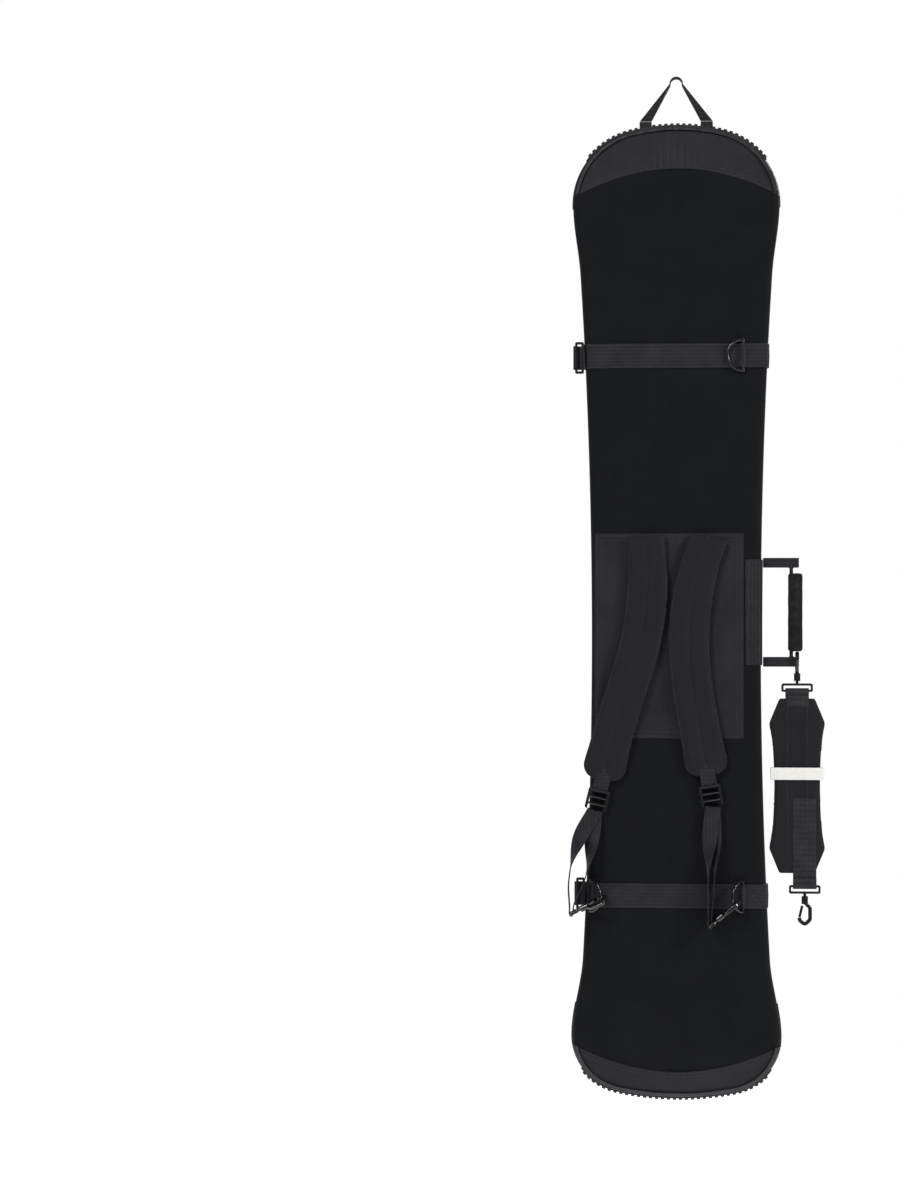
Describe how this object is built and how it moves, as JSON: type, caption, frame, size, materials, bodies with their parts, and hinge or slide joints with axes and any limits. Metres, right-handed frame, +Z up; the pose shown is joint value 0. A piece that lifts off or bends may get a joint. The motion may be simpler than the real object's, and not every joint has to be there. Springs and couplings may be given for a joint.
{
  "type": "snowboard bag",
  "caption": "Snowboard sleeve bag: neoprene body with nylon end caps, open hourglass front, cross straps, back harness, carry handle, grab loop and clip-on sling.",
  "frame": {"origin": "the point where a wall hook carries the grab loop, inside the top of the loop", "axes": "+Z up along the hanging bag, +Y out of the harness side, +X towards the side with the strap rings"},
  "size_m": [0.4202, 0.1035, 1.676],
  "materials": {
    "neoprene": "matt",
    "nylon_cap": "woven",
    "webbing": "ribbed",
    "hook_and_loop": "napped",
    "edge_rubber": "matt",
    "piping_cord": "satin",
    "pad_foam": "padded",
    "acetal": "gloss",
    "ring_steel": "gloss",
    "grip_foam": "matt"
  },
  "bodies": {
    "bag": {"back_panel": "neoprene", "gusset_tip": "neoprene", "gusset_tail": "neoprene", "gusset_left": "neoprene", "gusset_right": "neoprene", "tip_hood": "neoprene", "tail_pocket": "neoprene", "left_flange": "neoprene", "right_flange": "neoprene", "opening_binding": "webbing", "upper_band": "webbing", "lower_band": "webbing", "handle_base_strip": "webbing", "ring_tabs": "webbing", "middle_strap": "webbing", "d_ring_tabs": "webbing", "tip_cap_front": "nylon_cap", "tip_cap_back": "nylon_cap", "tail_cap_front": "nylon_cap", "tail_cap_back": "nylon_cap", "harness_panel": "nylon_cap", "cap_piping": "piping_cord", "tip_edge_guard": "edge_rubber", "tail_edge_guard": "edge_rubber", "upper_strap_base": "hook_and_loop", "lower_strap_base": "hook_and_loop", "strap_rings": "ring_steel"},
    "grab_loop": {"grab_loop": "webbing"},
    "carry_handle": {"handle_webbing": "webbing", "handle_grip": "grip_foam"},
    "upper_tail": {"upper_strap_tail": "hook_and_loop"},
    "lower_tail": {"lower_strap_tail": "hook_and_loop"},
    "slider": {"strap_slider": "acetal"},
    "shoulder_left": {"shoulder_pad_left": "pad_foam", "pad_tab_left": "webbing"},
    "shoulder_right": {"shoulder_pad_right": "pad_foam", "pad_tab_right": "webbing"},
    "lock_left": {"ladder_lock_left": "acetal"},
    "lock_right": {"ladder_lock_right": "acetal"},
    "upper_ring": {"d_ring_upper": "ring_steel"},
    "ring_left": {"d_ring_lower_left": "ring_steel"},
    "ring_right": {"d_ring_lower_right": "ring_steel"},
    "hook_left": {"snap_hook_left": "acetal"},
    "hook_right": {"snap_hook_right": "acetal"},
    "strand_left": {"hook_eye_left": "acetal", "harness_webbing_left": "webbing"},
    "strand_right": {"hook_eye_right": "acetal", "harness_webbing_right": "webbing"},
    "gate_left": {"hook_gate_left": "acetal"},
    "gate_right": {"hook_gate_right": "acetal"},
    "sling_hook": {"sling_hook_top": "acetal"},
    "sling": {"sling_eye_top": "acetal", "sling_pad": "pad_foam", "sling_webbing": "webbing", "sling_tie": "webbing"},
    "sling_gate": {"sling_gate_top": "acetal"},
    "free_eye": {"sling_eye_bottom": "acetal"},
    "free_hook": {"sling_hook_bottom": "acetal"},
    "free_gate": {"sling_gate_bottom": "acetal"}
  },
  "joints": [
    {"name": "loop_swing", "type": "hinge", "parent": "bag", "child": "grab_loop", "pos_m": [0, 0, -0.07], "axis": [1, 0, 0], "range_deg": [-80, 80]},
    {"name": "handle_swing", "type": "hinge", "parent": "bag", "child": "carry_handle", "pos_m": [-0.14261, 0.03171, -0.875], "axis": [0, 0, 1], "range_deg": [-30, 28]},
    {"name": "upper_strap_peel", "type": "hinge", "parent": "bag", "child": "upper_tail", "pos_m": [0.16332, 0.01181, -0.458], "axis": [0, 0, 1], "range_deg": [0, 160]},
    {"name": "lower_strap_peel", "type": "hinge", "parent": "bag", "child": "lower_tail", "pos_m": [0.16162, 0.01181, -1.336], "axis": [0, 0, 1], "range_deg": [0, 160]},
    {"name": "slider_slide", "type": "slide", "parent": "bag", "child": "slider", "axis": [1, 0, 0], "range_m": [-0.12, 0]},
    {"name": "shoulder_left_swing", "type": "hinge", "parent": "bag", "child": "shoulder_left", "pos_m": [0.048, 0.04841, -0.74748], "axis": [1, 0, 0], "range_deg": [0, 90]},
    {"name": "lock_left_tilt", "type": "hinge", "parent": "shoulder_left", "child": "lock_left", "pos_m": [0.12398, 0.05291, -1.16453], "axis": [-0.9723, 0, -0.2338], "range_deg": [-60, 5]},
    {"name": "shoulder_right_swing", "type": "hinge", "parent": "bag", "child": "shoulder_right", "pos_m": [-0.055, 0.04841, -0.73833], "axis": [1, 0, 0], "range_deg": [0, 90]},
    {"name": "lock_right_tilt", "type": "hinge", "parent": "shoulder_right", "child": "lock_right", "pos_m": [-0.05383, 0.05291, -1.15676], "axis": [-0.986, 0, 0.1667], "range_deg": [-60, 5]},
    {"name": "upper_ring_flip", "type": "hinge", "parent": "bag", "child": "upper_ring", "pos_m": [-0.108, 0.05061, -0.458], "axis": [0, 0, 1], "range_deg": [0, 170]},
    {"name": "ring_left_flip", "type": "hinge", "parent": "bag", "child": "ring_left", "pos_m": [0.13882, 0.05061, -1.336], "axis": [0, 0, -1], "range_deg": [0, 30]},
    {"name": "hook_left_pivot", "type": "hinge", "parent": "ring_left", "child": "hook_left", "pos_m": [0.12276, 0.06845, -1.342], "axis": [0, 0, 1], "range_deg": [-6, 6]},
    {"name": "hook_left_swivel", "type": "hinge", "parent": "hook_left", "child": "strand_left", "pos_m": [0.16745, 0.06845, -1.36211], "axis": [-0.9119, 0, 0.4104], "range_deg": [0, 20]},
    {"name": "gate_left_open", "type": "hinge", "parent": "hook_left", "child": "gate_left", "pos_m": [0.14153, 0.065, -1.3478], "axis": [-0.3362, -0.5736, -0.747], "range_deg": [0, 11], "stiffness_Nm_per_rad": 0.01, "springref_deg": -17.19},
    {"name": "ring_right_flip", "type": "hinge", "parent": "bag", "child": "ring_right", "pos_m": [-0.108, 0.05061, -1.336], "axis": [0, 0, 1], "range_deg": [0, 30]},
    {"name": "hook_right_pivot", "type": "hinge", "parent": "ring_right", "child": "hook_right", "pos_m": [-0.09395, 0.06621, -1.35], "axis": [0, 0, 1], "range_deg": [0, 6]},
    {"name": "hook_right_swivel", "type": "hinge", "parent": "hook_right", "child": "strand_right", "pos_m": [-0.05596, 0.06621, -1.38095], "axis": [-0.7752, 0, 0.6317], "range_deg": [0, 20]},
    {"name": "gate_right_open", "type": "hinge", "parent": "hook_right", "child": "gate_right", "pos_m": [-0.07883, 0.06202, -1.36232], "axis": [-0.6317, 0, -0.7752], "range_deg": [0, 6], "stiffness_Nm_per_rad": 0.01, "springref_deg": -17.19},
    {"name": "sling_swing", "type": "hinge", "parent": "carry_handle", "child": "sling_hook", "pos_m": [-0.196, 0.03171, -0.9555], "axis": [1, 0, 0], "range_deg": [-6, 6]},
    {"name": "sling_turn", "type": "hinge", "parent": "sling_hook", "child": "sling", "pos_m": [-0.196, 0.03171, -1.0005], "axis": [0, 0, 1], "range_deg": [-90, 90]},
    {"name": "sling_gate_open", "type": "hinge", "parent": "sling_hook", "child": "sling_gate", "pos_m": [-0.196, 0.03591, -0.971], "axis": [1, 0, 0], "range_deg": [0, 7], "stiffness_Nm_per_rad": 0.01, "springref_deg": -17.19},
    {"name": "free_hook_swing", "type": "hinge", "parent": "sling", "child": "free_eye", "pos_m": [-0.208, 0.03971, -1.3215], "axis": [1, 0, 0], "range_deg": [-45, 45]},
    {"name": "free_hook_swivel", "type": "hinge", "parent": "free_eye", "child": "free_hook", "pos_m": [-0.208, 0.03971, -1.3215], "axis": [0, 0, 1], "continuous": true},
    {"name": "free_gate_open", "type": "hinge", "parent": "free_hook", "child": "free_gate", "pos_m": [-0.2038, 0.03971, -1.351], "axis": [0, 1, 0], "range_deg": [0, 20], "stiffness_Nm_per_rad": 0.01, "springref_deg": -17.19}
  ]
}
